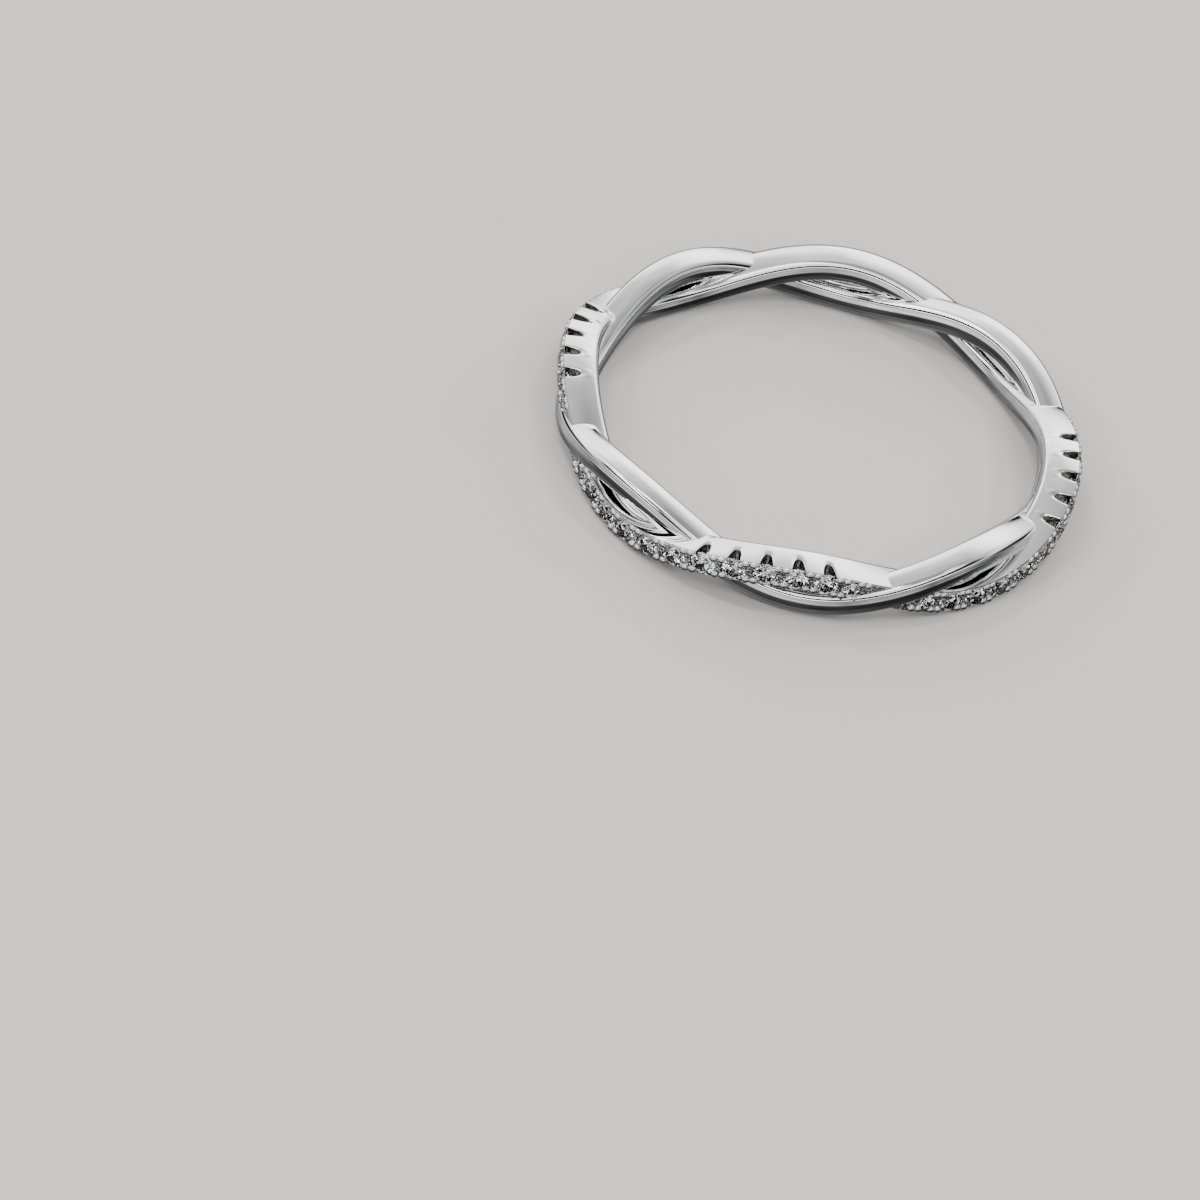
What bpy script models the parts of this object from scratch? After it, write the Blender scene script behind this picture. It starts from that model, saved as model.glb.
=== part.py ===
"""A stackable ring of two strands that wind round each other, one plain and one set with brilliants.

The ring lies flat. Its axis is +Z, and the origin is on that axis, level with the surface it lies on.
Angles are measured round the axis from +X. Each strand swings up and down as a sine wave and in and
out as a cosine wave of the same count, so the two cross, and each passes outside the other by turns.
The set strand is on the outside at angle 0. Its stones cover a little over half of the ring, in one
run where it is outside and one more in each swing that follows; the rest of it is smooth.
"""

import math

import bmesh
import bpy
from mathutils import Matrix, Vector

# Ring
BORE_DIAMETER = 0.0173
SWINGS = 4  # full swings of each strand in one turn, so the strands cross twice as often
SWING_ALONG = 0.00068  # how far a strand swings above and below the middle of the ring
SWING_OUT = 0.0002  # how far a strand swings out of and into the middle of the wall
STRAND_WIDTH = 0.00108  # the plain strand's, along the ring's axis
STRAND_THICKNESS = 0.0013  # across the ring's wall
EDGE_RADIUS = 0.00035
EDGE_STEPS = 2  # faces round each rounded edge
STATIONS_PER_SWING = 14  # sections of a strand in one swing; two of them straddle each crest
FLAT_ANGLE = 0.01  # neighbouring faces that turn by less than this, in radians, become one

# Set strand
SETTING_WIDTH = 0.00104  # a little narrower, so the ring rests on the plain strand
SETTING_RISE = 0.0002  # its outer face stands this much further out than the plain strand's
SETTING_EDGE = 0.00008  # the small bevel on its two outer edges
ARCH_WIDTH = 0.00046  # the arched cuts through the strand, one under each stone
ARCH_DEPTH = 0.00068
PRONG_DIAMETER = 0.00032
PRONG_RISE = 0.00008  # above the setting's outer face
PRONG_ROOT = 0.0002  # below it, inside the metal
PRONG_SIDES = 4

# Stones
STONE_DIAMETER = 0.001
END_STONE_DIAMETER = 0.0007  # the last stone of each run, where the plain strand closes in
END_GAP = 0.000185  # metal between its girdle and its neighbour's
STONES_PER_RUN = 10  # whole stones, an even count; one run in a swing, where the set strand is outside
FIRST_SWING = 2  # the swing, counted from angle 0, where the row of stones starts
STONES_BEFORE = 1  # whole stones of the first run that come before its middle
BARE_SWINGS = 1  # swings that have no stones
RUN_SHARE = 0.733  # share of a swing that the whole stones take
STONE_SINK = 0.00006  # girdle below the setting's outer face
TABLE_SHARE = 0.57  # widths and heights of a stone, as shares of its diameter
CROWN_SHARE = 0.16
PAVILION_SHARE = 0.43
SEAT_CLEARANCE = 0.00003  # between a stone and the metal round it
SEAT_SIDES = 10

# Worked out from the sizes above
MIDDLE_RADIUS = BORE_DIAMETER / 2 + STRAND_THICKNESS / 2 + SWING_OUT
STATION_COUNT = SWINGS * STATIONS_PER_SWING
PLAIN_STATIONS = [2 * math.pi * i / STATION_COUNT for i in range(STATION_COUNT)]
SET_STATIONS = [2 * math.pi * (i + 0.5) / STATION_COUNT for i in range(STATION_COUNT)]
HALF_HEIGHT = SWING_ALONG * max(math.sin(SWINGS * a) for a in PLAIN_STATIONS) + STRAND_WIDTH / 2
SETTING_FACE = STRAND_THICKNESS / 2 + SETTING_RISE
GIRDLE_LEVEL = SETTING_FACE - STONE_SINK
GIRDLE_RADIUS = MIDDLE_RADIUS + GIRDLE_LEVEL
STONE_PITCH = RUN_SHARE * 2 * math.pi / SWINGS / STONES_PER_RUN
END_PITCH = ((STONE_DIAMETER + END_STONE_DIAMETER) / 2 + END_GAP) / GIRDLE_RADIUS

SET = 1
PLAIN = -1


def clear_scene():
    """Start from an empty scene."""
    for item in list(bpy.data.objects):
        bpy.data.objects.remove(item, do_unlink=True)


def make_material(name, colour, roughness, metallic, transmission=0.0):
    """A Principled material with one colour."""
    material = bpy.data.materials.new(name)
    material.use_nodes = True
    shader = material.node_tree.nodes["Principled BSDF"]
    shader.inputs["Base Color"].default_value = (*colour, 1.0)
    shader.inputs["Roughness"].default_value = roughness
    shader.inputs["Metallic"].default_value = metallic
    shader.inputs["Transmission Weight"].default_value = transmission
    material.diffuse_color = (*colour, 1.0)
    material.metallic = metallic
    material.roughness = roughness
    return material


def make_object(name, shape, material, operand=False):
    """Turn a bmesh into an object; an operand only feeds a Boolean and isn't a piece of the ring."""
    bmesh.ops.recalc_face_normals(shape, faces=shape.faces)
    bmesh.ops.triangulate(shape, faces=shape.faces)
    mesh = bpy.data.meshes.new(name)
    shape.to_mesh(mesh)
    shape.free()
    mesh.materials.append(material)
    item = bpy.data.objects.new(name, mesh)
    bpy.context.collection.objects.link(item)
    if operand:
        item.hide_render = True
        item.display_type = "WIRE"
    return item


def combine(item, operation, operand):
    """Add a live Boolean."""
    modifier = item.modifiers.new(operand.name, "BOOLEAN")
    modifier.operation = operation
    modifier.solver = "EXACT"
    modifier.object = operand


def strand_radius(angle, strand):
    """Distance of a strand's middle line from the ring's axis."""
    return MIDDLE_RADIUS + strand * SWING_OUT * math.cos(SWINGS * angle)


def strand_level(angle, strand):
    """Height of a strand's middle line above the surface the ring lies on."""
    return HALF_HEIGHT + strand * SWING_ALONG * math.sin(SWINGS * angle)


def strand_point(angle, strand, out=0.0, across=0.0):
    """A point beside a strand's middle line, moved out from the axis and up along it."""
    radius = strand_radius(angle, strand) + out
    return Vector((radius * math.cos(angle), radius * math.sin(angle), strand_level(angle, strand) + across))


def strand_frame(angle, level):
    """A matrix on the set strand: local X runs along it, Z points out, the origin is out by level."""
    small = 1e-5
    along = (strand_point(angle + small, SET) - strand_point(angle - small, SET)).normalized()
    outward = Vector((math.cos(angle), math.sin(angle), 0.0))
    outward = (outward - along * outward.dot(along)).normalized()
    across = outward.cross(along)
    turn = Matrix((along, across, outward)).transposed().to_4x4()
    return Matrix.Translation(strand_point(angle, SET) + outward * level) @ turn


def corner(out, across, radius, start):
    """Points of a quarter circle round a corner's centre, from the start angle on."""
    turns = [start + math.pi / 2 * i / EDGE_STEPS for i in range(EDGE_STEPS + 1)]
    return [(out + radius * math.cos(t), across + radius * math.sin(t)) for t in turns]


def strand_section(width, outer_face, outer_radius):
    """A rounded rectangle across a strand, as (out, across) pairs, anticlockwise."""
    inner_face = -STRAND_THICKNESS / 2
    inner_radius = min(EDGE_RADIUS, 0.45 * width, 0.45 * STRAND_THICKNESS)
    outer_radius = min(outer_radius, 0.45 * width, 0.45 * STRAND_THICKNESS)
    half = width / 2
    points = corner(outer_face - outer_radius, half - outer_radius, outer_radius, 0.0)
    points += corner(inner_face + inner_radius, half - inner_radius, inner_radius, math.pi / 2)
    points += corner(inner_face + inner_radius, inner_radius - half, inner_radius, math.pi)
    points += corner(outer_face - outer_radius, outer_radius - half, outer_radius, -math.pi / 2)
    return points


def sweep_strand(strand, stations, sections):
    """A closed tube: a section of its own at each station round the ring."""
    shape = bmesh.new()
    rings = []
    for angle, section in zip(stations, sections):
        points = [strand_point(angle, strand, out, across) for out, across in section]
        rings.append([shape.verts.new(point) for point in points])
    for i, ring in enumerate(rings):
        following = rings[(i + 1) % len(rings)]
        for j in range(len(ring)):
            k = (j + 1) % len(ring)
            shape.faces.new((ring[j], following[j], following[k], ring[k]))
    return shape


def setting_edge(angle, row):
    """Radius of the set strand's outer edges: small along the row of stones, round on the smooth stretch."""
    start = row[0][0] - STONE_PITCH
    end = row[-1][0] + END_PITCH
    return SETTING_EDGE if (angle - start) % (2 * math.pi) < end - start else EDGE_RADIUS


def run_places(middle):
    """(angle, diameter) of each stone of the run about one place where the set strand is outside."""
    half_run = [((i + 0.5) * STONE_PITCH, STONE_DIAMETER) for i in range(STONES_PER_RUN // 2)]
    half_run.append((half_run[-1][0] + END_PITCH, END_STONE_DIAMETER))
    before = [(middle - offset, diameter) for offset, diameter in reversed(half_run)]
    return before + [(middle + offset, diameter) for offset, diameter in half_run]


def all_runs():
    """The runs of stones in order round the ring; the first one starts near its middle."""
    runs = [run_places(2 * math.pi * (FIRST_SWING + i) / SWINGS) for i in range(SWINGS - BARE_SWINGS)]
    runs[0] = runs[0][STONES_PER_RUN // 2 + 1 - STONES_BEFORE :]
    return runs


def prong_angles(run):
    """The angle of each pair of prongs: in the metal between two stones, and at both ends of the run."""
    angles = [run[0][0] - (run[0][1] + END_GAP) / 2 / GIRDLE_RADIUS]
    angles.append(run[-1][0] + (run[-1][1] + END_GAP) / 2 / GIRDLE_RADIUS)
    for (angle, diameter), (following, following_diameter) in zip(run, run[1:]):
        angles.append((angle + following + (diameter - following_diameter) / 2 / GIRDLE_RADIUS) / 2)
    return angles


def add_prong(shape, frame, across):
    """A short tapered peg that stands on the setting's outer face."""
    place = frame @ Matrix.Translation((0.0, across, (PRONG_RISE - PRONG_ROOT) / 2))
    bmesh.ops.create_cone(
        shape,
        cap_ends=True,
        segments=PRONG_SIDES,
        radius1=PRONG_DIAMETER / 2,
        radius2=PRONG_DIAMETER / 3,
        depth=PRONG_RISE + PRONG_ROOT,
        matrix=place,
    )


def add_arch(shape, frame):
    """A prism across the strand with a round end towards the bore."""
    half = ARCH_WIDTH / 2
    spring = half - ARCH_DEPTH
    top = STRAND_THICKNESS / 2
    outline = [(half, top), (-half, top)]
    outline += [(-half * math.cos(t), spring - half * math.sin(t)) for t in (0.0, math.pi / 4)]
    outline += [(half * math.cos(t), spring - half * math.sin(t)) for t in (math.pi / 2, math.pi / 4, 0.0)]
    length = SETTING_WIDTH
    near = [shape.verts.new(frame @ Vector((x, -length, z))) for x, z in outline]
    far = [shape.verts.new(frame @ Vector((x, length, z))) for x, z in outline]
    shape.faces.new(near)
    shape.faces.new(reversed(far))
    for i in range(len(outline)):
        k = (i + 1) % len(outline)
        shape.faces.new((near[k], near[i], far[i], far[k]))


def add_seat(shape, frame, diameter):
    """A turned cutter that follows a stone from below its point to above its crown."""
    slope = math.atan2(diameter / 2, PAVILION_SHARE * diameter)
    crown_slope = (1 - TABLE_SHARE) / 2 / CROWN_SHARE
    girdle = (diameter / 2 + SEAT_CLEARANCE) / math.cos(math.pi / SEAT_SIDES)
    lip = diameter * CROWN_SHARE + SEAT_CLEARANCE
    profile = [
        (girdle, -SEAT_CLEARANCE / math.tan(slope) / 2),
        (girdle, SEAT_CLEARANCE),
        (girdle - lip * crown_slope, SEAT_CLEARANCE + lip),
    ]
    depth = PAVILION_SHARE * diameter + SEAT_CLEARANCE / math.sin(slope)
    tip = shape.verts.new(frame @ Vector((0.0, 0.0, -depth)))
    turns = [2 * math.pi * (i + 0.5) / SEAT_SIDES for i in range(SEAT_SIDES)]
    rings = []
    for radius, height in profile:
        places = [Vector((radius * math.cos(t), radius * math.sin(t), height)) for t in turns]
        rings.append([shape.verts.new(frame @ place) for place in places])
    for i in range(SEAT_SIDES):
        k = (i + 1) % SEAT_SIDES
        shape.faces.new((tip, rings[0][k], rings[0][i]))
        for lower, upper in zip(rings, rings[1:]):
            shape.faces.new((lower[i], lower[k], upper[k], upper[i]))
    shape.faces.new(rings[-1])


def brilliant(frame, diameter):
    """A round stone: an eight-sided table, eight crown facets, sixteen beside them, sixteen below."""
    shape = bmesh.new()
    table = []
    girdle = []
    for i in range(8):
        turn = math.pi / 4 * i
        radius = diameter * TABLE_SHARE / 2
        table.append(Vector((radius * math.cos(turn), radius * math.sin(turn), diameter * CROWN_SHARE)))
    for i in range(16):
        turn = math.pi / 8 * i
        girdle.append(Vector((diameter / 2 * math.cos(turn), diameter / 2 * math.sin(turn), 0.0)))
    table = [shape.verts.new(frame @ point) for point in table]
    girdle = [shape.verts.new(frame @ point) for point in girdle]
    point = shape.verts.new(frame @ Vector((0.0, 0.0, -diameter * PAVILION_SHARE)))
    shape.faces.new(table)
    for i in range(8):
        before, main, middle, after = (girdle[j % 16] for j in range(2 * i - 1, 2 * i + 3))
        shape.faces.new((table[i], before, main))
        shape.faces.new((table[i], main, middle))
        shape.faces.new((table[i], middle, table[(i + 1) % 8]))
        shape.faces.new((point, middle, main))
        shape.faces.new((point, after, middle))
    return shape


def build_band(runs, metal):
    """The metal: both strands, the prongs, the arched cuts and the stones' seats, as one solid."""
    row = [place for run in runs for place in run]
    sections = [strand_section(SETTING_WIDTH, SETTING_FACE, setting_edge(a, row)) for a in SET_STATIONS]
    band = make_object("twisted_band", sweep_strand(SET, SET_STATIONS, sections), metal)
    sections = [strand_section(STRAND_WIDTH, STRAND_THICKNESS / 2, EDGE_RADIUS)] * STATION_COUNT
    plain = make_object("plain_strand", sweep_strand(PLAIN, PLAIN_STATIONS, sections), metal, operand=True)

    prongs = bmesh.new()
    beside = (SETTING_WIDTH - PRONG_DIAMETER) / 2 - SETTING_EDGE / 2
    for run in runs:
        for angle in prong_angles(run):
            for side in (-1, 1):
                add_prong(prongs, strand_frame(angle, SETTING_FACE), side * beside)
    prongs = make_object("prongs", prongs, metal, operand=True)

    arches = bmesh.new()
    odd_seats = bmesh.new()
    even_seats = bmesh.new()
    for i, (angle, diameter) in enumerate(row):
        add_seat(even_seats if i % 2 else odd_seats, strand_frame(angle, GIRDLE_LEVEL), diameter)
        if diameter == STONE_DIAMETER:
            add_arch(arches, strand_frame(angle, SETTING_FACE))
    arches = make_object("arch_cutter", arches, metal, operand=True)
    odd_seats = make_object("odd_seat_cutter", odd_seats, metal, operand=True)
    even_seats = make_object("even_seat_cutter", even_seats, metal, operand=True)

    combine(band, "UNION", prongs)
    combine(band, "DIFFERENCE", arches)
    combine(band, "UNION", plain)
    combine(band, "DIFFERENCE", odd_seats)
    combine(band, "DIFFERENCE", even_seats)
    flatten = band.modifiers.new("flatten", "DECIMATE")
    flatten.decimate_type = "DISSOLVE"
    flatten.angle_limit = FLAT_ANGLE


def build_stones(runs, glassy):
    """One object for each stone, numbered round the ring."""
    places = [place for run in runs for place in run]
    for i, (angle, diameter) in enumerate(places):
        make_object(f"stone_{i + 1:02d}", brilliant(strand_frame(angle, GIRDLE_LEVEL), diameter), glassy)


def main():
    clear_scene()
    metal = make_material("polished_silver", (0.82, 0.82, 0.84), 0.08, 1.0)
    glassy = make_material("clear_stone", (0.95, 0.96, 0.98), 0.0, 0.0, transmission=1.0)
    runs = all_runs()
    build_band(runs, metal)
    build_stones(runs, glassy)


main()
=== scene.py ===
"""The looks of a stackable ring: two strands wound round each other, one plain and one set with brilliants.

Every metal surface is worked out from two numbers: the angle round the ring and a place on the strand's
section. A strand's middle line swings up and down as a sine wave and in and out as a cosine wave, and its
section is carried along that line, square to it. The row of stones covers part of the set strand, in runs of
one swing each, and the rest of that strand is polished like the plain one. Under each whole stone the set
strand has an arched cut, open upwards where the strand is high and downwards where it is low.
"""

import math

import bmesh
import bpy
import numpy as np
from mathutils import Matrix, Vector


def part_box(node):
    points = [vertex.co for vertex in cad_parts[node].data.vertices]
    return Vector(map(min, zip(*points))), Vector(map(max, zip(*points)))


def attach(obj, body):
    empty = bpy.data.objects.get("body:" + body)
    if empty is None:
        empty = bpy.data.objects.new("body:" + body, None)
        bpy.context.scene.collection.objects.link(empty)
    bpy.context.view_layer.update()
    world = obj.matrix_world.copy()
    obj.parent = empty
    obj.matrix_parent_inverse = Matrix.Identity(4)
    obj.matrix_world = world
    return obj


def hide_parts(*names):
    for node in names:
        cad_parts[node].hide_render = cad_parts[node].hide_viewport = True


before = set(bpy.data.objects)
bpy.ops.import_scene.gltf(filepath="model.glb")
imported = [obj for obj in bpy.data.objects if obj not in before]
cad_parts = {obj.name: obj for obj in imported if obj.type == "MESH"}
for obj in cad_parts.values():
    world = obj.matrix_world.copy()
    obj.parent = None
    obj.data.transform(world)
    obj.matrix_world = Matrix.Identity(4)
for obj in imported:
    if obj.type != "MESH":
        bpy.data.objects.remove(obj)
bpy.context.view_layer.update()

MM = 0.001
TURN = 2 * math.pi

# The ring, as the solids have it
BORE = 17.3 * MM
SWINGS = 4  # full swings of each strand in one turn
SWING_OUT = 0.2 * MM  # how far a strand swings out of and into the middle of the wall
STRAND_WIDTH = 1.08 * MM  # along the ring's axis
STRAND_THICKNESS = 1.3 * MM  # across the ring's wall
EDGE_RADIUS = 0.3 * MM
SETTING_WIDTH = 1.04 * MM
SETTING_RISE = 0.2 * MM  # its outer face stands this much further out than the plain strand's
SETTING_EDGE = 0.06 * MM
ARCH_WIDTH = 0.52 * MM
ARCH_DEPTH = 0.68 * MM
STONE = 1.0 * MM
END_STONE = 0.7 * MM  # the last stone of each run
END_GAP = 0.185 * MM  # metal between its girdle and its neighbour's
STONE_SINK = 0.06 * MM  # girdle below the setting's outer face
STONES_PER_RUN = 10  # whole stones, an even count
FIRST_SWING = 2  # the swing, counted from angle 0, where the row of stones starts
STONES_BEFORE = 1  # whole stones of the first run that come before its middle
BARE_SWINGS = 1  # swings that have no stones
RUN_SHARE = 0.733  # share of a swing that the whole stones take
SEAT_CLEARANCE = 0.02 * MM
SET, PLAIN = 1, -1  # the two strands swing opposite ways

# Finer forms than the solids'
PRONG = 0.29 * MM
PRONG_RISE = 0.09 * MM
PRONG_ROOT = 0.15 * MM
PRONG_FOOT = 0.8  # the foot of a bead's stem, as a share of its width
PRONG_MARGIN = 0.02 * MM
PRONGS_APART = 0.3 * MM  # the two beads on one side of a gap
PILLOW = 0.03 * MM  # how far the polished sides are crowned
LIP = 0.006 * MM  # metal left between a seat and the edge
ARCH_POWER = 3  # how steeply a cut's floor rises towards its ends
EDGE_BLEND = math.radians(6)  # from the row's small edges to the smooth stretch's round ones

# How finely the surfaces are worked out
PLAIN_STATIONS = 720
PLAIN_STEP = math.radians(0.5)  # between the set strand's stations where it has no seat
LEAST_STEPS = 3  # between two seats
ARCH_STEPS = 8
ARCH_CROWDING = 0.8  # under 1, the stations crowd towards a cut's ends
SEAT_STEPS = 8
EDGE_STEPS = 6
CORNER_STEPS = 8
BEAD_STEPS = 7
BEAD_SIDES = 14
CROWN_PLACES = (-0.9, -0.6, -0.3, 0.0, 0.3, 0.6, 0.9)  # across a crowned side of the plain strand
SIDE_PLACES = (0.06, 0.2, 0.4, 0.6, 0.8, 0.94)  # down the set strand's side
BORE_PLACES = (0.8, 0.5, 0.2)  # from the inner corner to the middle of the bore side
SEAT_END = 0.02 * MM  # half chord where a seat starts
CUT_DEPTH = 0.02 * MM  # deeper than this, the outer side counts as cut
SMALL_ANGLE = 1e-4  # for a length to the angle
WELD = 1e-8  # points closer than this are joined
SMOOTH_UNDER = 30.0  # degrees; a sharper edge stays sharp
BEAD_SMOOTH_UNDER = 50.0
FACET_SMOOTH_UNDER = 1.0

# Worked out from the sizes above
BAND_LOW, BAND_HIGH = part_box("twisted_band")
MIDDLE_LEVEL = (BAND_LOW.z + BAND_HIGH.z) / 2
MIDDLE_RADIUS = BORE / 2 + STRAND_THICKNESS / 2 + SWING_OUT
SWING_ALONG = (BAND_HIGH.z - BAND_LOW.z - STRAND_WIDTH) / 2
SETTING_FACE = STRAND_THICKNESS / 2 + SETTING_RISE
GIRDLE_LEVEL = SETTING_FACE - STONE_SINK
GIRDLE_RADIUS = MIDDLE_RADIUS + GIRDLE_LEVEL
STONE_PITCH = RUN_SHARE * TURN / SWINGS / STONES_PER_RUN
END_PITCH = ((STONE + END_STONE) / 2 + END_GAP) / GIRDLE_RADIUS
PRONG_ACROSS = SETTING_WIDTH / 2 - PRONG / 2 - PRONG_MARGIN

# A brilliant's shares of its diameter
TABLE = 0.56
CROWN = 0.15
GIRDLE = 0.025
PAVILION = 0.43
LOWER_HALF = 0.23  # where the lower halves end, as a share of the radius

# The set strand's finishes, in the order of its materials. The cut finish's grey is painted shade
POLISHED, CUT_WITH_PAINTED_SHADE, BRIGHT_CUT = range(3)

# The sizes of the finishes' patterns
NOISE_LOW, NOISE_HIGH = 0.3, 0.7  # most of a noise pattern lies between these
HAZE = MM / 1.8  # one cloud of the haze that polishing leaves, 0.56 mm
WHEEL_MARK_LENGTH = 4 * MM
WHEEL_MARK_WIDTH = MM / 6  # real ones are some hundredths of a millimetre; drawn coarser so that they show
WHEEL_MARK_DEPTH = 0.0006 * MM
GRAVER_CUT = 0.1 * MM  # one bright cut; real ones are finer, and drawn coarser so that they show
GRAVER_DEPTH = 0.03 * MM

# The photograph: a 1200 by 1200 frame
PHOTO = 1200
RING_PIXEL = (816.5, 425.4)
PIXELS_PER_MM = 25.54
VIEW_AZIMUTH = math.radians(-70.43)
VIEW_ELEVATION = math.radians(38.63)
VIEW_ROLL = math.radians(14.16)
VIEW_DISTANCE = 312 * MM
SENSOR = 36.0
CLIP_START, CLIP_END = 10 * MM, 10000 * MM

# The studio. Heights are of a direction, from -1 straight down to 1 straight up
FLOOR_REACH = 600 * MM
TENT_LIGHT = 4.2
FAR_SIDE = (  # (height, brightness) behind the ring: a white tent with a dark gap at the horizon
    (-1.0, 0.05), (-0.7, 0.04), (-0.5, 0.1), (-0.2, 0.16), (-0.1, 0.003), (0.08, 0.003), (0.2, 0.6),
    (0.45, 1.0), (0.7, 0.8), (0.9, 0.35), (1.0, 0.25)
)
NEAR_SIDE = (  # the same on the camera's side: dark ground, two low strips of light and a dark room
    (-1.0, 0.05), (-0.72, 0.012), (-0.42, 0.015), (-0.3, 0.25), (-0.2, 0.25), (-0.12, 0.003), (0.0, 0.003),
    (0.05, 0.8), (0.18, 0.8), (0.24, 0.002), (0.5, 0.002), (0.62, 0.1), (0.85, 0.1), (1.0, 0.25)
)
NEAR_FROM, NEAR_TO = -0.3, 0.05  # a direction's share towards the camera where the near side takes over
STREAKS = (2.2, 2.2, 16.0)  # long level streaks of light on the camera's side, which light up facets
STREAK_LIGHT = 2.2
STREAKS_FROM, STREAKS_TO = 0.52, 0.62  # the height where they start, above a band that stays dark
RIPPLE_FROM, RIPPLE_TO = 0.54, 0.64  # the part of the noise that a streak's edge takes
SHADE_FROM, SHADE_TO = -0.3, 0.6  # from the left of the picture to the right
SHADED_LIGHT = 0.45  # light that is left on the right
HIGH_FOLDS = (1.4, 0.35, 1.3)  # scale, least and most light of the tent's soft folds, above the horizon
LOW_FOLDS = (3.0, 0.45, 1.5)  # the same below it
FOLDS_FROM, FOLDS_TO = -0.2, 0.0  # the height where one gives way to the other
LAMPS = 14
LAMP_TURN = math.radians(137.5)  # from one lamp to the next, so that they spread evenly over the dome
LAMP_LOW, LAMP_HIGH = math.radians(12), math.radians(75)
LAMP_DISTANCE = 500 * MM
LAMP_SIZE = 30 * MM
LAMP_POWER = 0.4


def linear(hex_colour):
    """An sRGB hex colour as linear red, green, blue and alpha."""
    parts = [int(hex_colour[i : i + 2], 16) / 255 for i in (1, 3, 5)]
    return tuple(p / 12.92 if p <= 0.04045 else ((p + 0.055) / 1.055) ** 2.4 for p in parts) + (1.0,)


def grey(brightness):
    """A linear grey."""
    return brightness, brightness, brightness, 1.0


def add_node(tree, kind, links=(), values=(), stops=(), **settings):
    """Add a node with its settings, its sockets' values, its colour stops and the links to its sockets.

    A Mix node's sockets go by number: 0 is the factor, 2 and 3 take values, and 6 and 7 take colours. Its
    output 0 gives the value and its output 2 the colour.
    """
    node = tree.nodes.new(kind)
    for name, value in settings.items():
        setattr(node, name, value)
    for socket, value in dict(values).items():
        node.inputs[socket].default_value = value
    for socket, source in dict(links).items():
        tree.links.new(source, node.inputs[socket])
    for i, (place, colour) in enumerate(stops):
        stop = node.color_ramp.elements[i] if i < 2 else node.color_ramp.elements.new(place)
        stop.position = place
        stop.color = colour
    return node


def new_material(name, values):
    """A node material, and its Principled shader with the given sockets set."""
    material = bpy.data.materials.new(name)
    material.use_nodes = True
    shader = material.node_tree.nodes["Principled BSDF"]
    for socket, value in values.items():
        shader.inputs[socket].default_value = value
    return material, shader


def rhodium_plated_silver():
    """Cast silver, tumbled, polished on a wheel and rhodium plated.

    To the eye it is a near white mirror. A faint haze softens what it mirrors here and there, and fine marks
    that run along the strand break the edges of its lights.
    """
    material, shader = new_material(
        "rhodium_plated_silver", {"Base Color": linear("#EFEFF0"), "Metallic": 1.0}
    )
    tree = material.node_tree
    place = add_node(tree, "ShaderNodeTexCoord").outputs
    haze = add_node(
        tree, "ShaderNodeTexNoise", {"Vector": place["Object"]},
        {"Scale": 1 / HAZE, "Detail": 3.0, "Roughness": 0.6}
    )
    roughness = add_node(
        tree, "ShaderNodeMapRange", {"Value": haze.outputs["Fac"]},
        {"From Min": NOISE_LOW, "From Max": NOISE_HIGH, "To Min": 0.02, "To Max": 0.06}
    )
    tree.links.new(roughness.outputs["Result"], shader.inputs["Roughness"])
    # The UV map counts millimetres along the strand and round its section
    stretched = add_node(
        tree, "ShaderNodeMapping", {"Vector": place["UV"]},
        {"Scale": (MM / WHEEL_MARK_LENGTH, MM / WHEEL_MARK_WIDTH, 1.0)}
    )
    wheel_marks = add_node(
        tree, "ShaderNodeTexNoise", {"Vector": stretched.outputs["Vector"]}, {"Scale": 1.0, "Detail": 4.0}
    )
    bump = add_node(
        tree, "ShaderNodeBump", {"Height": wheel_marks.outputs["Fac"]},
        {"Strength": 0.5, "Distance": WHEEL_MARK_DEPTH}
    )
    tree.links.new(bump.outputs["Normal"], shader.inputs["Normal"])
    return material


def cut_silver_with_painted_shade():
    """Silver as the cutter left it, out of the wheel's reach and duller; its grey paints shade into cuts and
    seats.
    """
    # The grey base colour is painted shade for the recesses; the rougher, unpolished finish is the metal's
    # own
    material, _ = new_material(
        "cut_silver_with_painted_shade", {"Base Color": linear("#8E8C8A"), "Metallic": 1.0, "Roughness": 0.2}
    )
    return material


def graver_cut_silver():
    """Silver cut with a polished graver between the stones: small mirrors at many angles, which glitter."""
    material, shader = new_material(
        "graver_cut_silver", {"Base Color": linear("#EFEFF0"), "Metallic": 1.0, "Roughness": 0.06}
    )
    tree = material.node_tree
    place = add_node(tree, "ShaderNodeTexCoord").outputs["Object"]
    cuts = add_node(tree, "ShaderNodeTexVoronoi", {"Vector": place}, {"Scale": 1 / GRAVER_CUT})
    bump = add_node(
        tree, "ShaderNodeBump", {"Height": cuts.outputs["Distance"]},
        {"Strength": 1.0, "Distance": GRAVER_DEPTH}
    )
    tree.links.new(bump.outputs["Normal"], shader.inputs["Normal"])
    return material


def cubic_zirconia():
    """Cubic zirconia, cut and polished: clear, with bright and dark facets and hardly any colour."""
    material, _ = new_material("cut_cubic_zirconia", {
        "Base Color": linear("#FCFDFF"), "Roughness": 0.0, "IOR": 2.16, "Transmission Weight": 1.0
    })
    return material


def centre_line(angle, strand):
    """Middle line of a strand.

    Its radius is the middle radius + swing out * cos(swings * angle), and its height is the middle level +
    swing along * sin(swings * angle), with both swings turned round for the plain strand.
    """
    radius = MIDDLE_RADIUS + strand * SWING_OUT * np.cos(SWINGS * angle)
    level = MIDDLE_LEVEL + strand * SWING_ALONG * np.sin(SWINGS * angle)
    return np.stack([radius * np.cos(angle), radius * np.sin(angle), level], axis=-1)


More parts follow.
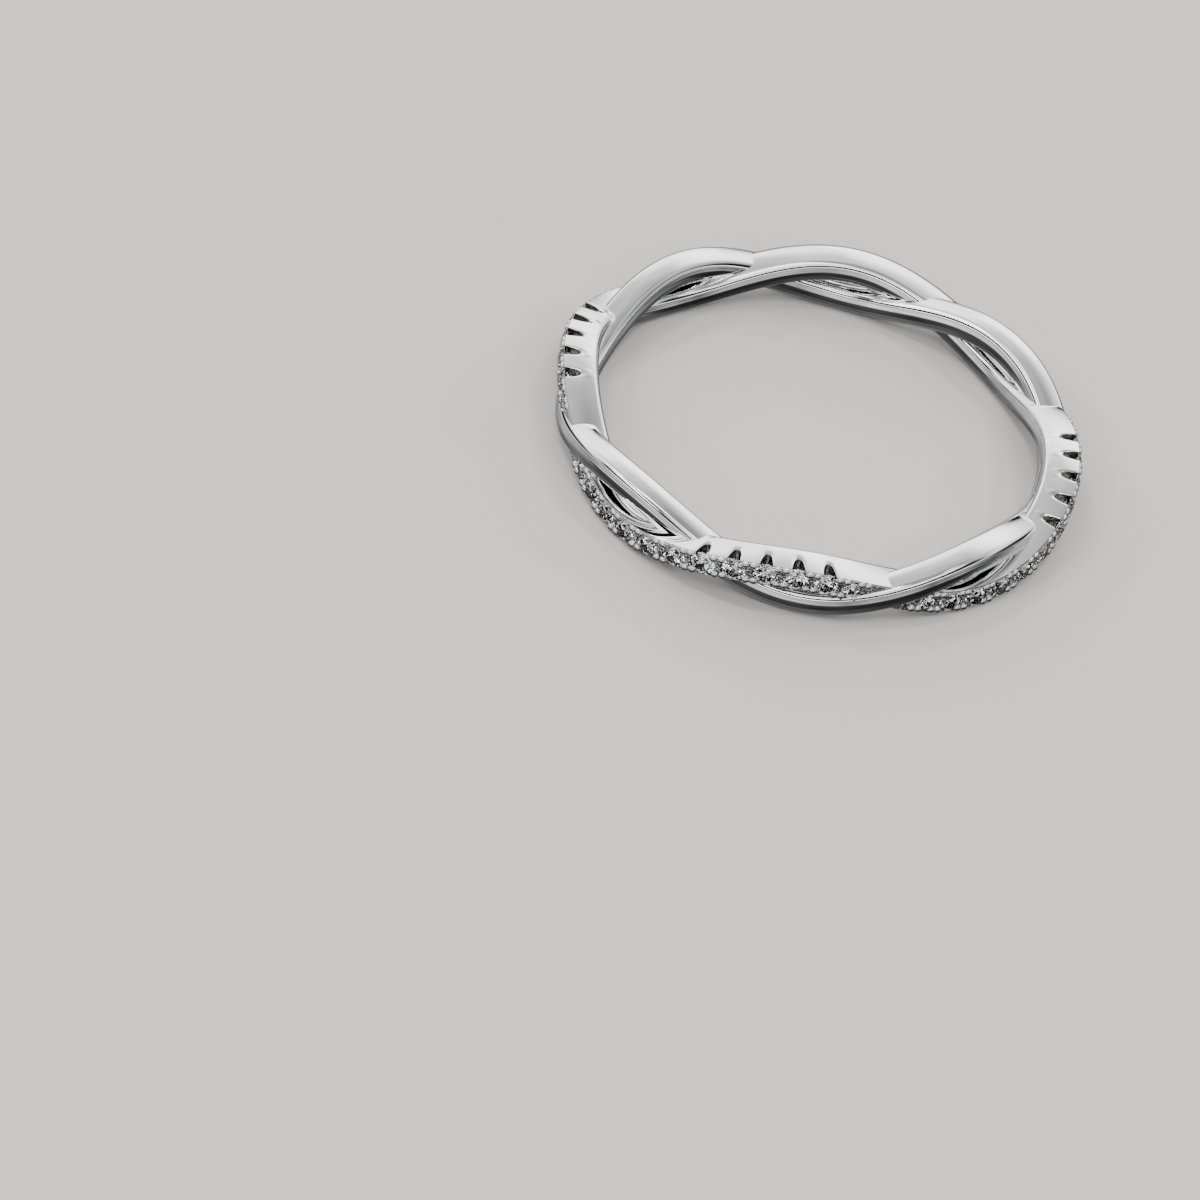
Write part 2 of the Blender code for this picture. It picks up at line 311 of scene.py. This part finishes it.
def strand_axes(angle, strand):
    """Unit vectors along the strand, out from the ring and across the strand, square to each other.

    Along is the middle line's rate of change, out is the ring's outward direction less its share along, and
    across is their cross product.
    """
    radius = MIDDLE_RADIUS + strand * SWING_OUT * np.cos(SWINGS * angle)
    radius_rate = -strand * SWING_OUT * SWINGS * np.sin(SWINGS * angle)
    level_rate = strand * SWING_ALONG * SWINGS * np.cos(SWINGS * angle)
    cos, sin = np.cos(angle), np.sin(angle)
    along = np.stack(
        [radius_rate * cos - radius * sin, radius_rate * sin + radius * cos, level_rate], axis=-1
    )
    along /= np.linalg.norm(along, axis=-1, keepdims=True)
    out = np.stack([cos, sin, np.zeros_like(cos)], axis=-1)
    out -= along * np.sum(out * along, axis=-1, keepdims=True)
    out /= np.linalg.norm(out, axis=-1, keepdims=True)
    return along, out, np.cross(out, along)


def on_strand(angle, out, across, strand):
    """Points beside a strand's middle line, one row for each angle.

    They are the middle line's point + outward axis * out + sideways axis * across.
    """
    _, outward, sideways = strand_axes(angle, strand)
    middle = centre_line(angle, strand)
    return middle[:, None] + outward[:, None] * out[..., None] + sideways[:, None] * across[..., None]


def grid_faces(rows, columns, wrap_rows=False, wrap_columns=False):
    """Quads of a grid of rows by columns points, closed up where asked.

    Also gives the row and column of each quad's corners, counted on past the end where it closes up.
    """
    down = np.arange(rows if wrap_rows else rows - 1)
    along = np.arange(columns if wrap_columns else columns - 1)
    i, j = (a.ravel() for a in np.meshgrid(down, along, indexing="ij"))
    corners = np.stack([
        np.stack([i, j], 1), np.stack([i + 1, j], 1), np.stack([i + 1, j + 1], 1), np.stack([i, j + 1], 1)
    ], 1)
    faces = (corners[..., 0] % rows) * columns + corners[..., 1] % columns
    return faces, corners


def mesh_object(name, points, faces, materials, finish=None, uv=None, smooth_under=SMOOTH_UNDER):
    """A mesh object from arrays, its coincident points joined, shaded smooth but for sharp edges."""
    mesh = bpy.data.meshes.new(name)
    mesh.from_pydata(points.reshape(-1, 3).tolist(), [], [list(face) for face in faces])
    for material in materials:
        mesh.materials.append(material)
    if finish is not None:
        mesh.polygons.foreach_set("material_index", finish.astype(np.int32))
    if uv is not None:
        mesh.uv_layers.new(name="along_strand").data.foreach_set("uv", uv.astype(np.float32).ravel())
    shape = bmesh.new()
    shape.from_mesh(mesh)
    bmesh.ops.remove_doubles(shape, verts=shape.verts, dist=WELD)
    shape.to_mesh(mesh)
    shape.free()
    mesh.shade_smooth()
    mesh.set_sharp_from_angle(angle=math.radians(smooth_under))
    piece = bpy.data.objects.new(name, mesh)
    bpy.context.collection.objects.link(piece)
    return piece


def dress(piece, slot, *nodes):
    """Let a piece ride on the ring and stand for its nodes, whose parts are hidden. The slot is not used."""
    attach(piece, "root")
    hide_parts(*nodes)


def strand_uv(corners, angle, around):
    """Millimetres along the strand and round its section at each face corner."""
    along = np.append(angle, angle[0] + TURN) * MIDDLE_RADIUS / MM
    round_it = np.append(around, around[-1] + np.diff(around)[-1]) / MM
    return np.stack([along[corners[..., 0]], round_it[corners[..., 1]]], axis=-1)


def quarter(radius, start):
    """Points of a quarter circle about zero: radius * cosine and radius * sine, from the start angle on."""
    turn = start + np.linspace(0, math.pi / 2, CORNER_STEPS + 1)
    return radius * np.cos(turn), radius * np.sin(turn)


def crowned(start, end):
    """Points from one corner to the next, and how proud of a flat side each is: pillow * (1 - u * u).

    u runs from -1 at one corner to 1 at the next.
    """
    u = np.array(CROWN_PLACES)
    return start + (end - start) * (u + 1) / 2, PILLOW * (1 - u**2)


def rounded_section(width, thickness, radius):
    """A rounded rectangle with slightly crowned sides, as (out, across) arrays, anticlockwise."""
    half_out = thickness / 2 - PILLOW
    half_across = width / 2 - PILLOW
    out, across = [], []
    for i, (to_out, to_across) in enumerate([(1, 1), (-1, 1), (-1, -1), (1, -1)]):
        arc_out, arc_across = quarter(radius, i * math.pi / 2)
        straight_out = to_out * (half_out - radius)
        straight_across = to_across * (half_across - radius)
        out.append(straight_out + arc_out)
        across.append(straight_across + arc_across)
        if i % 2 == 0:
            places, proud = crowned(straight_out, -straight_out)
            out.append(places)
            across.append(to_across * (half_across + proud))
        else:
            places, proud = crowned(straight_across, -straight_across)
            out.append(to_out * (half_out + proud))
            across.append(places)
    return np.concatenate(out), np.concatenate(across)


def plain_strand(silver):
    """The plain strand: its rounded section carried once round the ring."""
    out, across = rounded_section(STRAND_WIDTH, STRAND_THICKNESS, EDGE_RADIUS)
    angle = np.linspace(0, TURN, PLAIN_STATIONS, endpoint=False)
    rows = np.ones((len(angle), 1))
    points = on_strand(angle, out * rows, across * rows, PLAIN)
    faces, corners = grid_faces(len(angle), len(out), wrap_rows=True, wrap_columns=True)
    around = np.cumsum(np.hypot(np.diff(out, prepend=out[0]), np.diff(across, prepend=across[0])))
    piece = mesh_object("plain_strand", points, faces, [silver], uv=strand_uv(corners, angle, around))
    dress(piece, "polished_silver", "twisted_band")


def stone_runs():
    """The runs of stones in order, each a list of (angle, diameter).

    In a run whole stones stand at (i + 1/2) * pitch on each side of its middle, and a small one past them.
    """
    half_run = [((i + 0.5) * STONE_PITCH, STONE) for i in range(STONES_PER_RUN // 2)]
    half_run.append((half_run[-1][0] + END_PITCH, END_STONE))
    runs = []
    for swing in range(FIRST_SWING, FIRST_SWING + SWINGS - BARE_SWINGS):
        middle = TURN * swing / SWINGS
        before = [(middle - offset, diameter) for offset, diameter in reversed(half_run)]
        after = [(middle + offset, diameter) for offset, diameter in half_run]
        runs.append(before + after)
    runs[0] = runs[0][STONES_PER_RUN // 2 + 1 - STONES_BEFORE :]
    return runs


def seat_stations(angle, diameter):
    """Stations across one stone's seat, as an array with six rows.

    The rows are the angle, the place x along the strand from the stone's axis, the seat's half chord, the
    level of the arched cut's floor, 1 inside the seat or 0 at its ends, and the seat's radius. The half chord
    is sqrt(seat radius squared - x squared). The cut's floor is
    outer face - depth * (1 - (x / half width) ** power), and infinity past the cut.
    """
    seat = diameter / 2 + SEAT_CLEARANCE
    end = math.sqrt(seat**2 - SEAT_END**2)
    arch = ARCH_WIDTH / 2 if diameter == STONE else 0.0
    under = arch * np.linspace(0, 1, ARCH_STEPS) ** ARCH_CROWDING if arch else np.zeros(0)
    beside = seat * np.sin(np.linspace(math.asin(arch / seat), math.asin(end / seat), SEAT_STEPS))
    place = np.concatenate([under, beside, [end]])
    cut_floor = np.full(len(place), np.inf)
    cut_floor[: len(under)] = SETTING_FACE - ARCH_DEPTH * (1 - (under / max(arch, WELD)) ** ARCH_POWER)
    inside = np.ones(len(place))
    inside[-1] = 0
    chord = np.maximum(np.sqrt(np.maximum(seat**2 - place**2, 0)), SEAT_END)
    chord = np.minimum(chord, SETTING_WIDTH / 2 - SETTING_EDGE - LIP)

    nearby = np.array([angle - SMALL_ANGLE, angle + SMALL_ANGLE])
    girdle = on_strand(nearby, np.full((2, 1), GIRDLE_LEVEL), np.zeros((2, 1)), SET)[:, 0]
    length_per_angle = np.linalg.norm(girdle[1] - girdle[0]) / (2 * SMALL_ANGLE)
    both = np.concatenate([-place[::-1], place])
    twice = [np.concatenate([value[::-1], value]) for value in (chord, cut_floor, inside)]
    return np.stack([angle + both / length_per_angle, both, *twice, np.full(len(both), seat)])


def set_stations(row):
    """All stations of the set strand: those across the seats, and plain ones between them."""
    seats = [seat_stations(angle, diameter) for angle, diameter in row]
    parts = []
    for seat, following in zip(seats, seats[1:] + seats[:1]):
        last_angle, next_angle = seat[0, -1], following[0, 0]
        gap = (next_angle - last_angle) % TURN
        count = max(LEAST_STEPS, math.ceil(gap / PLAIN_STEP))
        angle = last_angle + gap * np.arange(1, count) / count
        zero = np.zeros(count - 1)
        parts += [seat, np.stack([angle, zero, zero + SEAT_END, zero + np.inf, zero, zero])]
    return np.concatenate(parts, axis=1)


def past_row(angle, row):
    """How smooth the set strand is: 0 in the row of stones, and 1 past its ends.

    Between them it is s * s * (3 - 2 * s), with s the share of EDGE_BLEND that the angle is past an end.
    """
    start = row[0][0] - STONE_PITCH
    reach = row[-1][0] + END_PITCH - start
    past = (angle - start) % TURN - reach
    share = np.clip(np.minimum(past, TURN - reach - past) / EDGE_BLEND, 0, 1)
    return share**2 * (3 - 2 * share)


def set_section(stations, edge):
    """The set strand's section at each station: (out, across) arrays and the outer side's count of columns.

    The columns start at the middle of the outer side and go over a seat, the corner, the side and the inner
    corner to the bore, and back the same way on the lower half. Inside a seat the outer side is
    girdle level - (seat radius - distance from the stone's axis) * pavilion slope. In an arched cut it is
    the lower of that and the cut's floor, and everywhere else it is the outer face. The cuts run out through
    the strand's upper side where it is high, and through its lower side where it is low.
    """
    angle, place, chord, cut_floor, inside, seat = stations
    half_width = SETTING_WIDTH / 2
    ones = np.ones_like(angle)
    bowl_across = chord * np.linspace(0, 1, SEAT_STEPS)
    distance = np.hypot(place, bowl_across)
    cone = GIRDLE_LEVEL - SEAT_CLEARANCE - np.maximum(seat - distance, 0) * 2 * PAVILION
    bowl_out = np.where(inside > 0, np.minimum(cone, SETTING_FACE), SETTING_FACE)
    turn = np.linspace(math.pi / 2, 0, EDGE_STEPS + 1)
    corner_across = half_width - PILLOW - edge + edge * np.cos(turn)
    outer_across = np.concatenate([bowl_across, chord, corner_across], axis=1)

    inner_out, inner_across = quarter(EDGE_RADIUS, math.pi / 2)
    inner_out = inner_out + EDGE_RADIUS + PILLOW - STRAND_THICKNESS / 2
    inner_across = inner_across + half_width - PILLOW - EDGE_RADIUS
    down = np.array(SIDE_PLACES)
    side_across = half_width - PILLOW * (2 * down - 1) ** 2
    bore = np.array(BORE_PLACES)
    bore_out = PILLOW * bore**2 - STRAND_THICKNESS / 2
    high = np.sin(SWINGS * angle) > 0
    halves = []
    for side_floor in (np.where(high, cut_floor, np.inf), np.where(high, np.inf, cut_floor)):
        corner_out = np.minimum(SETTING_FACE, side_floor) - edge + edge * np.sin(turn)
        corner_end = corner_out[:, -1:]
        side_out = corner_end + (inner_out[0] - corner_end) * down
        halves.append(np.concatenate([
            np.minimum(bowl_out, side_floor), np.minimum(SETTING_FACE, side_floor) * ones, corner_out,
            side_out, inner_out * ones, bore_out * ones
        ], axis=1))
    half_across = np.concatenate(
        [outer_across, side_across * ones, inner_across * ones, bore * inner_across[-1] * ones], axis=1
    )
    out = np.concatenate([halves[0], halves[1][:, :0:-1]], axis=1)
    across = np.concatenate([half_across, -half_across[:, :0:-1]], axis=1)
    return out, across, outer_across.shape[1]


def set_strand(silver, shade_painted_silver, bright_silver, row):
    """The set strand: its section carried once round the ring, with the finish of each of its faces.

    The seats and the arched cuts are left as cut, in a duller silver whose grey colour is painted shade, the
    flat metal between the stones is bright cut, and all the rest is polished.
    """
    stations = set_stations(row)[..., None]
    angle = stations[0]
    smooth = past_row(angle, row)
    edge = SETTING_EDGE + (EDGE_RADIUS - SETTING_EDGE) * smooth
    out, across, outer_count = set_section(stations, edge)
    points = on_strand(angle[:, 0], out, across, SET)
    faces, corners = grid_faces(*out.shape, wrap_rows=True, wrap_columns=True)

    # A face is known by its first corner, and the outer side has the first columns and the last
    station = corners[:, 0, 0]
    column = corners[:, 0, 1]
    on_outer = (column < outer_count - 1) | (column >= out.shape[1] - outer_count + 1)
    in_cut = on_outer & (out.ravel()[faces].min(axis=1) < SETTING_FACE - CUT_DEPTH)
    flat_count = outer_count - EDGE_STEPS
    on_flat = (column < flat_count) | (column >= out.shape[1] - flat_count)
    in_row = smooth[station, 0] == 0
    # Faces in the cuts and seats take the grey silver, which is painted shade in these recesses
    finish = np.where(in_cut, CUT_WITH_PAINTED_SHADE, np.where(on_flat & in_row, BRIGHT_CUT, POLISHED))

    middle_out, middle_across = np.median(out, axis=0), np.median(across, axis=0)
    around = np.cumsum(np.hypot(np.diff(middle_out, prepend=0), np.diff(middle_across, prepend=0)))
    piece = mesh_object(
        "set_strand", points, faces, [silver, shade_painted_silver, bright_silver],
        finish=finish, uv=strand_uv(corners, angle[:, 0], around)
    )
    dress(piece, "polished_silver", "twisted_band")


def prong_places(runs):
    """The angles of the gaps that have prongs: between two stones of a run and past its ends."""
    angles = []
    for run in runs:
        angles.append(run[0][0] - (run[0][1] + END_GAP) / 2 / GIRDLE_RADIUS)
        for (angle, diameter), (next_angle, next_diameter) in zip(run, run[1:]):
            angles.append((angle + next_angle + (diameter - next_diameter) / 2 / GIRDLE_RADIUS) / 2)
        angles.append(run[-1][0] + (run[-1][1] + END_GAP) / 2 / GIRDLE_RADIUS)
    return np.array(angles)


def prong_beads(silver, runs):
    """Beads of metal, two on each side of every gap between stones.

    Each is a short stem with a dome, whose radius is half a prong * cos(rise) and whose height is
    prong rise * sin(rise).
    """
    places = prong_places(runs)
    shift = np.tile([-1.0, 1.0, -1.0, 1.0], len(places)) * PRONGS_APART / 2 / GIRDLE_RADIUS
    side = np.tile([-1.0, -1.0, 1.0, 1.0], len(places)) * PRONG_ACROSS
    angles = np.repeat(places, 4) + shift
    along, outward, across = strand_axes(angles, SET)
    centre = centre_line(angles, SET) + outward * SETTING_FACE + across * side[:, None]
    rise = np.linspace(0, math.pi / 2, BEAD_STEPS)
    radius = np.concatenate([[0.0, PRONG_FOOT], np.cos(rise)]) * PRONG / 2
    height = np.concatenate([[-PRONG_ROOT, -PRONG_ROOT], PRONG_RISE * np.sin(rise)])
    turn = np.linspace(0, TURN, BEAD_SIDES, endpoint=False)
    local = np.stack([
        radius[:, None] * np.cos(turn), height[:, None] + 0 * turn, radius[:, None] * np.sin(turn)
    ], axis=-1)
    axes = np.stack([along, outward, across], axis=1)
    points = centre[:, None, None] + np.einsum("ijk,bkl->bijl", local, axes)
    faces, _ = grid_faces(len(radius), len(turn), wrap_columns=True)
    first_points = np.arange(len(angles)) * len(radius) * len(turn)
    faces = (faces[None] + first_points[:, None, None]).reshape(-1, 4)
    piece = mesh_object("prong_beads", points, faces, [silver], smooth_under=BEAD_SMOOTH_UNDER)
    dress(piece, "polished_silver", "twisted_band")


def brilliant_shape(diameter):
    """A round brilliant's (along, across, out) points and its faces, from the table down to the culet.

    The height of a main facet at x from the axis is crown * (R - x) / (R - table radius) above the girdle and
    pavilion * (1 - x / R) below it, which places the corners where stars, mains and halves meet.
    """
    radius = diameter / 2
    table = TABLE * diameter / 2
    crown, pavilion, girdle = CROWN * diameter, PAVILION * diameter, GIRDLE * diameter
    eighth = TURN / 8 * np.arange(8)
    sixteenth = TURN / 16 * np.arange(16)
    between = math.cos(TURN / 16)
    star = (table * between + radius) / 2
    star_height = crown * (radius - star * between) / (radius - table)
    low = radius * LOWER_HALF
    low_height = -girdle - pavilion * (1 - low * between / radius)

    def ring(turn, distance, height):
        """Points at one distance from the axis and one height."""
        level = np.full(len(turn), height)
        return np.stack([distance * np.cos(turn), distance * np.sin(turn), level], axis=1)

    points = np.concatenate([
        ring(eighth, table, crown),
        ring(eighth + TURN / 16, star, star_height),
        ring(sixteenth, radius, 0.0),
        ring(sixteenth, radius, -girdle),
        ring(eighth + TURN / 16, low, low_height),
        [[0.0, 0.0, -girdle - pavilion]],
    ])
    stars, upper, lower, halves, culet = 8, 16, 32, 48, 56  # the first point of each ring after the table's
    faces = [list(range(8))]
    for i in range(8):
        before, after = (i - 1) % 8, (i + 1) % 8
        main, middle, right = 2 * i, 2 * i + 1, (2 * i + 2) % 16
        faces += [
            [i, stars + i, after],
            [i, stars + before, upper + main, stars + i],
            [stars + i, upper + main, upper + middle],
            [stars + i, upper + middle, upper + right],
            [upper + main, lower + main, lower + middle, upper + middle],
            [upper + middle, lower + middle, lower + right, upper + right],
            [lower + main, halves + i, lower + middle],
            [lower + middle, halves + i, lower + right],
            [lower + main, halves + before, culet, halves + i],
        ]
    return points, faces


def brilliants(zirconia, row):
    """One cut stone in each seat, its axis square to the strand and its girdle at the girdle level."""
    for number, (angle, diameter) in enumerate(row, start=1):
        local, faces = brilliant_shape(diameter)
        at = np.array([angle])
        along, outward, across = (axis[0] for axis in strand_axes(at, SET))
        centre = centre_line(at, SET)[0] + outward * GIRDLE_LEVEL
        points = centre + local @ np.stack([along, across, outward])
        piece = mesh_object(
            f"brilliant_{number:02d}", points, faces, [zirconia], smooth_under=FACET_SMOOTH_UNDER
        )
        dress(piece, "clear_stones", f"stone_{number:02d}")


def towards(azimuth, elevation):
    """The unit vector that points an azimuth and an elevation away."""
    flat = math.cos(elevation)
    return Vector((flat * math.cos(azimuth), flat * math.sin(azimuth), math.sin(elevation)))


def photo_camera():
    """A long lens at the photograph's angle, aimed so that the ring sits where it does in the photograph."""
    target = Vector((0.0, 0.0, MIDDLE_LEVEL))
    back = towards(VIEW_AZIMUTH, VIEW_ELEVATION)
    right = Vector((-math.sin(VIEW_AZIMUTH), math.cos(VIEW_AZIMUTH), 0.0))
    up = back.cross(right)
    rolled_right = right * math.cos(VIEW_ROLL) + up * math.sin(VIEW_ROLL)
    rolled_up = up * math.cos(VIEW_ROLL) - right * math.sin(VIEW_ROLL)
    axes = Matrix((rolled_right, rolled_up, back)).transposed()
    focal_pixels = PIXELS_PER_MM * VIEW_DISTANCE / MM
    seen = Vector((RING_PIXEL[0] - PHOTO / 2, PHOTO / 2 - RING_PIXEL[1], -focal_pixels)).normalized()
    aim = Vector((0.0, 0.0, -1.0)).rotation_difference(seen).to_matrix()
    data = bpy.data.cameras.new("photo_camera")
    data.sensor_width = SENSOR
    data.lens = focal_pixels / PHOTO * SENSOR
    data.clip_start = CLIP_START
    data.clip_end = CLIP_END
    camera = bpy.data.objects.new("photo_camera", data)
    bpy.context.collection.objects.link(camera)
    place = Matrix.Translation(target + back * VIEW_DISTANCE)
    camera.matrix_world = place @ (axes @ aim.inverted()).to_4x4()
    bpy.context.scene.camera = camera


def pale_floor():
    """A plain pale surface. The metal doesn't mirror it, so that its walls and underside read dark."""
    points = np.array([(-1, -1, 0), (1, -1, 0), (1, 1, 0), (-1, 1, 0)]) * FLOOR_REACH
    material, _ = new_material("pale_floor", {"Base Color": linear("#A6A4A0"), "Roughness": 0.8})
    piece = mesh_object("floor", points, [(0, 1, 2, 3)], [material])
    piece.visible_glossy = False


def lamps():
    """Small square lamps spread over the dome, which glint in the stones. The metal doesn't mirror them."""
    for number in range(LAMPS):
        back = towards(LAMP_TURN * number, LAMP_LOW + (LAMP_HIGH - LAMP_LOW) * number / (LAMPS - 1))
        data = bpy.data.lights.new(f"lamp_{number:02d}", "AREA")
        data.size = LAMP_SIZE
        data.energy = LAMP_POWER
        lamp = bpy.data.objects.new(data.name, data)
        bpy.context.collection.objects.link(lamp)
        lamp.visible_glossy = False
        lamp.location = back * LAMP_DISTANCE
        lamp.rotation_mode = "QUATERNION"
        lamp.rotation_quaternion = back.to_track_quat("Z", "Y")


def studio_bands(tree, direction, height):
    """The light's level bands: the far side's, and the near side's with its streaks."""
    place = add_node(tree, "ShaderNodeMapRange", {"Value": height}, {"From Min": -1.0}).outputs["Result"]
    far, near = (
        add_node(
            tree, "ShaderNodeValToRGB", {"Fac": place},
            stops=[((level + 1) / 2, grey(brightness)) for level, brightness in side]
        ).outputs["Color"] for side in (FAR_SIDE, NEAR_SIDE)
    )
    flattened = add_node(
        tree, "ShaderNodeMapping", {"Vector": direction}, {"Scale": STREAKS}
    ).outputs["Vector"]
    ripples = add_node(
        tree, "ShaderNodeTexNoise", {"Vector": flattened}, {"Scale": 1.0, "Detail": 0.0}
    ).outputs["Fac"]
    high = add_node(
        tree, "ShaderNodeMapRange", {"Value": height}, {"From Min": STREAKS_FROM, "From Max": STREAKS_TO}
    ).outputs["Result"]
    streaks = add_node(
        tree, "ShaderNodeMapRange", {"Value": ripples, "To Max": high},
        {"From Min": RIPPLE_FROM, "From Max": RIPPLE_TO}
    ).outputs["Result"]
    streaked = add_node(
        tree, "ShaderNodeMix", {0: streaks, 6: near}, {7: grey(STREAK_LIGHT)}, data_type="RGBA"
    ).outputs[2]

    to_camera = (math.cos(VIEW_AZIMUTH), math.sin(VIEW_AZIMUTH), 0.0)
    nearness = add_node(
        tree, "ShaderNodeVectorMath", {0: direction}, {1: to_camera}, operation="DOT_PRODUCT"
    ).outputs["Value"]
    near_share = add_node(
        tree, "ShaderNodeMapRange", {"Value": nearness}, {"From Min": NEAR_FROM, "From Max": NEAR_TO},
        interpolation_type="SMOOTHSTEP"
    ).outputs["Result"]
    return add_node(
        tree, "ShaderNodeMix", {0: near_share, 6: far, 7: streaked}, data_type="RGBA"
    ).outputs[2]


def studio_strength(tree, direction, height):
    """The light's strength: shaded from left to right, and uneven like the soft folds of a tent."""
    to_right = (-math.sin(VIEW_AZIMUTH), math.cos(VIEW_AZIMUTH), 0.0)
    rightness = add_node(
        tree, "ShaderNodeVectorMath", {0: direction}, {1: to_right}, operation="DOT_PRODUCT"
    ).outputs["Value"]
    shade = add_node(
        tree, "ShaderNodeMapRange", {"Value": rightness},
        {"From Min": SHADE_FROM, "From Max": SHADE_TO, "To Min": 1.0, "To Max": SHADED_LIGHT},
        interpolation_type="SMOOTHSTEP"
    ).outputs["Result"]
    uneven = []
    for scale, least, most in (LOW_FOLDS, HIGH_FOLDS):
        folds = add_node(
            tree, "ShaderNodeTexNoise", {"Vector": direction}, {"Scale": scale, "Detail": 2.0}
        ).outputs["Fac"]
        uneven.append(add_node(
            tree, "ShaderNodeMapRange", {"Value": folds},
            {"From Min": NOISE_LOW, "From Max": NOISE_HIGH, "To Min": least, "To Max": most}
        ).outputs["Result"])
    above = add_node(
        tree, "ShaderNodeMapRange", {"Value": height}, {"From Min": FOLDS_FROM, "From Max": FOLDS_TO}
    ).outputs["Result"]
    fold = add_node(tree, "ShaderNodeMix", {0: above, 2: uneven[0], 3: uneven[1]}).outputs[0]
    dimmed = add_node(
        tree, "ShaderNodeMath", {0: shade, 1: fold}, operation="MULTIPLY"
    ).outputs["Value"]
    return add_node(
        tree, "ShaderNodeMath", {0: dimmed}, {1: TENT_LIGHT}, operation="MULTIPLY"
    ).outputs["Value"]


def studio():
    """A white tent behind the ring, and a dark room with low strips of light on the camera's side."""
    world = bpy.data.worlds.new("studio")
    world.use_nodes = True
    tree = world.node_tree
    background = tree.nodes["Background"]
    direction = add_node(tree, "ShaderNodeTexCoord").outputs["Generated"]
    height = add_node(tree, "ShaderNodeSeparateXYZ", {"Vector": direction}).outputs["Z"]
    tree.links.new(studio_bands(tree, direction, height), background.inputs["Color"])
    tree.links.new(studio_strength(tree, direction, height), background.inputs["Strength"])
    bpy.context.scene.world = world


photo_camera()
studio()
lamps()
pale_floor()
silver = rhodium_plated_silver()
# Grey silver for the cuts and seats: duller metal, with painted shade in its colour
shade_painted_silver = cut_silver_with_painted_shade()
bright_silver = graver_cut_silver()
zirconia = cubic_zirconia()
runs = stone_runs()
row = [stone for run in runs for stone in run]
plain_strand(silver)
set_strand(silver, shade_painted_silver, bright_silver, row)
prong_beads(silver, runs)
brilliants(zirconia, row)
